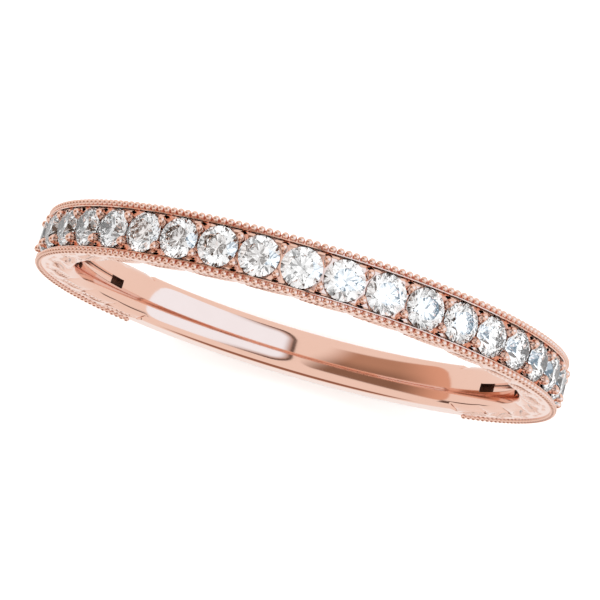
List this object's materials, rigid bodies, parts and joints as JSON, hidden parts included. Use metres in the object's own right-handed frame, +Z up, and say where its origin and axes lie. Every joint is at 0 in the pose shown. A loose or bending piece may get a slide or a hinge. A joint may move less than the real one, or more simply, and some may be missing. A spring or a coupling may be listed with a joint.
{
  "type": "wedding band",
  "caption": "Slim half-eternity wedding band in rose gold, with a channel row of round brilliants on shared beads and engraved sides.",
  "frame": {"origin": "centre of the finger hole, half way across the band's width", "axes": "+Y along the finger hole, +Z up through the middle stone of the row, +X along the row at the top"},
  "size_m": [0.0208, 0.0018, 0.0208],
  "materials": {
    "rose_gold": "high polish",
    "diamond": "polished facets"
  },
  "bodies": {
    "root": {"band": "rose_gold", "diamond_01": "diamond", "diamond_02": "diamond", "diamond_03": "diamond", "diamond_04": "diamond", "diamond_05": "diamond", "diamond_06": "diamond", "diamond_07": "diamond", "diamond_08": "diamond", "diamond_09": "diamond", "diamond_10": "diamond", "diamond_11": "diamond", "diamond_12": "diamond", "diamond_13": "diamond", "diamond_14": "diamond", "diamond_15": "diamond", "diamond_16": "diamond", "diamond_17": "diamond", "diamond_18": "diamond", "diamond_19": "diamond", "diamond_20": "diamond", "diamond_21": "diamond"}
  },
  "joints": []
}
